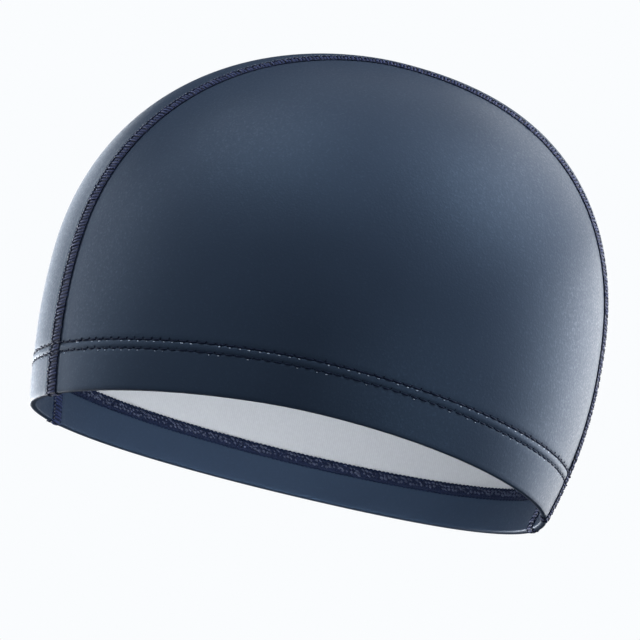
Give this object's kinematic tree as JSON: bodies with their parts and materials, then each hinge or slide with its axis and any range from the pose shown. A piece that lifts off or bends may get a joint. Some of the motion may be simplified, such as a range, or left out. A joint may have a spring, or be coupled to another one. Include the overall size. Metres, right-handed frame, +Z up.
{
  "type": "swim cap",
  "caption": "Stretch-knit swim cap with a satin coating, side panels and a centre strip joined by flatlock seams, and a turned-up hem.",
  "frame": {"origin": "middle of the head opening, at the level of its edge at the front and back", "axes": "+Z up through the crown, square to the head opening; -Y to the front; +X to the wearer's left"},
  "size_m": [0.156, 0.2, 0.1533],
  "materials": {
    "coated_knit": "navy stretch knit, satin polyurethane coating on the right side, light grey knit on the wrong side",
    "seam_thread": "textured polyester thread, dark navy"
  },
  "bodies": {
    "root": {"left_panel": "coated_knit", "right_panel": "coated_knit", "centre_strip": "coated_knit", "left_seam": "seam_thread", "right_seam": "seam_thread", "hem_looper_band": "seam_thread"}
  },
  "joints": []
}
